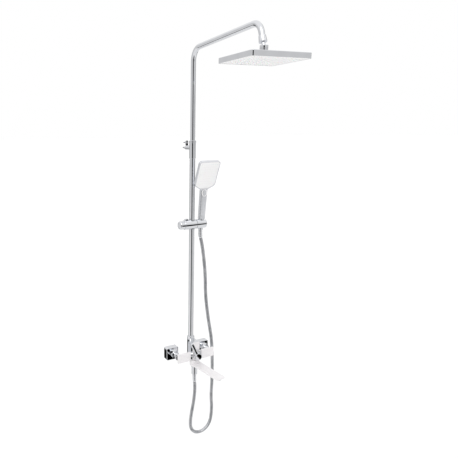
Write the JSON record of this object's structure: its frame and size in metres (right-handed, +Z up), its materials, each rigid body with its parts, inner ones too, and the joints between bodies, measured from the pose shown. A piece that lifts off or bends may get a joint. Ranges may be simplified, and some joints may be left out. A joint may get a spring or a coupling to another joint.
{
  "type": "rainfall shower column",
  "caption": "Wall shower column: lever mixer with blade spout, telescopic riser, square rain head on a ball joint, sliding holder and hand shower on a hose.",
  "frame": {"origin": "on the finished wall, midway between the two water inlets", "axes": "+X to the right of a person facing the wall, +Y into the wall, +Z up; the column stands at negative Y"},
  "size_m": [0.2187, 0.5976, 1.648],
  "materials": {
    "chrome": "polished",
    "white_lacquer": "gloss",
    "brass": "satin",
    "rubber": "matt",
    "grey_plastic": "satin",
    "steel": "brushed",
    "silicone": "matt",
    "silver_plastic": "polished",
    "hose_sleeve": "polished metal braid",
    "white_plastic": "gloss"
  },
  "bodies": {
    "column": {"s_union_left": "chrome", "s_union_right": "chrome", "escutcheon_left": "chrome", "escutcheon_right": "chrome", "union_nut_left": "chrome", "union_nut_right": "chrome", "inlet_washers": "rubber", "mixer_body": "chrome", "front_panel": "white_lacquer", "cover_left": "white_lacquer", "cover_right": "white_lacquer", "cartridge": "grey_plastic", "cartridge_nut": "chrome", "riser_nut": "chrome", "riser_washer": "rubber", "riser_lower": "chrome", "bracket_sleeve": "chrome", "bracket_arm": "chrome", "bracket_tab": "chrome", "tab_screw": "steel", "hanger_bolt": "steel", "outlet_nipple": "chrome", "spout_ring": "grey_plastic", "hose_washer": "rubber", "hose_nut_lower": "chrome", "hose": "hose_sleeve"},
    "lock_ring": {"lock_ring": "chrome"},
    "rotor": {"cartridge_rotor": "grey_plastic"},
    "lever": {"mixing_lever": "chrome", "cartridge_stem": "steel", "lever_screw": "steel"},
    "diverter": {"diverter_knob": "chrome", "diverter_cap": "white_plastic", "diverter_spindle": "brass"},
    "spout": {"spout": "white_lacquer", "aerator": "chrome"},
    "arm": {"upper_tube": "chrome", "guide_bush": "grey_plastic", "arm_nut": "chrome", "ball_stud": "chrome"},
    "ball_seat": {"ball_seat": "grey_plastic"},
    "socket": {"head_socket": "chrome"},
    "head": {"head_boss": "chrome", "head_shell": "chrome", "spray_plate": "white_plastic", "head_nozzles": "silicone", "head_gasket": "rubber"},
    "bush": {"slider_bush": "grey_plastic"},
    "slider": {"slider_body": "chrome", "slider_end_cap": "chrome"},
    "release": {"release_button": "chrome"},
    "cradle": {"cradle": "chrome"},
    "hose_nut": {"hose_nut_upper": "chrome"},
    "handset": {"handset_shell": "silver_plastic", "face_plate": "white_plastic", "face_nozzles": "silicone", "button_ring": "white_plastic", "handset_washer": "rubber"},
    "mode": {"mode_button": "silver_plastic"}
  },
  "joints": [
    {"name": "tube_slide", "type": "slide", "parent": "column", "child": "arm", "axis": [0, 0, 1], "range_m": [-0.2, 0.12]},
    {"name": "lock_turn", "type": "hinge", "parent": "column", "child": "lock_ring", "pos_m": [0, -0.05, 0.8845], "axis": [0, 0, 1], "range_deg": [0, 120]},
    {"name": "temperature", "type": "hinge", "parent": "column", "child": "rotor", "pos_m": [0, -0.109, 0.007], "axis": [0, 1, 0], "range_deg": [-20, 70]},
    {"name": "flow", "type": "hinge", "parent": "rotor", "child": "lever", "pos_m": [0, -0.109, 0.007], "axis": [0.9063, 0, 0.4226], "range_deg": [0, 18]},
    {"name": "diverter_turn", "type": "hinge", "parent": "column", "child": "diverter", "pos_m": [0.0105, -0.099, 0.0295], "axis": [0, 1, 0], "range_deg": [-60, 60]},
    {"name": "spout_swivel", "type": "hinge", "parent": "column", "child": "spout", "pos_m": [0, -0.085, -0.034], "axis": [0, 0, 1], "range_deg": [-68, 52]},
    {"name": "head_tilt_fore", "type": "hinge", "parent": "arm", "child": "ball_seat", "pos_m": [0, -0.466, 1.163], "axis": [1, 0, 0], "range_deg": [-20, 10]},
    {"name": "head_tilt_side", "type": "hinge", "parent": "ball_seat", "child": "socket", "pos_m": [0, -0.466, 1.163], "axis": [0, 1, 0], "range_deg": [-12, 12]},
    {"name": "head_turn", "type": "hinge", "parent": "socket", "child": "head", "pos_m": [0, -0.466, 1.163], "axis": [0, 0, 1], "continuous": true},
    {"name": "slider_slide", "type": "slide", "parent": "column", "child": "bush", "axis": [0, 0, 1], "range_m": [-0.4, 0.15], "deforming": ["hose"]},
    {"name": "slider_swivel", "type": "hinge", "parent": "bush", "child": "slider", "pos_m": [0, -0.05, 0.5637], "axis": [0, 0, 1], "range_deg": [-60, 15], "deforming": ["hose"]},
    {"name": "release_press", "type": "slide", "parent": "slider", "child": "release", "axis": [0, 0, -1], "range_m": [0, 0.003], "stiffness_N_per_m": 400},
    {"name": "cradle_tilt", "type": "hinge", "parent": "slider", "child": "cradle", "pos_m": [0.042, -0.05, 0.5637], "axis": [1, 0, 0], "range_deg": [0, 45], "deforming": ["hose"]},
    {"name": "handset_lift", "type": "slide", "parent": "cradle", "child": "hose_nut", "axis": [0, -0.1219, 0.9925], "range_m": [0, 0.05], "deforming": ["hose"]},
    {"name": "handset_turn", "type": "hinge", "parent": "hose_nut", "child": "handset", "pos_m": [0.042, -0.05, 0.5637], "axis": [0, -0.1219, 0.9925], "range_deg": [-2, 60]},
    {"name": "mode_press", "type": "slide", "parent": "handset", "child": "mode", "axis": [0, 0.9925, 0.1219], "range_m": [0, 0.0014], "stiffness_N_per_m": 400}
  ]
}
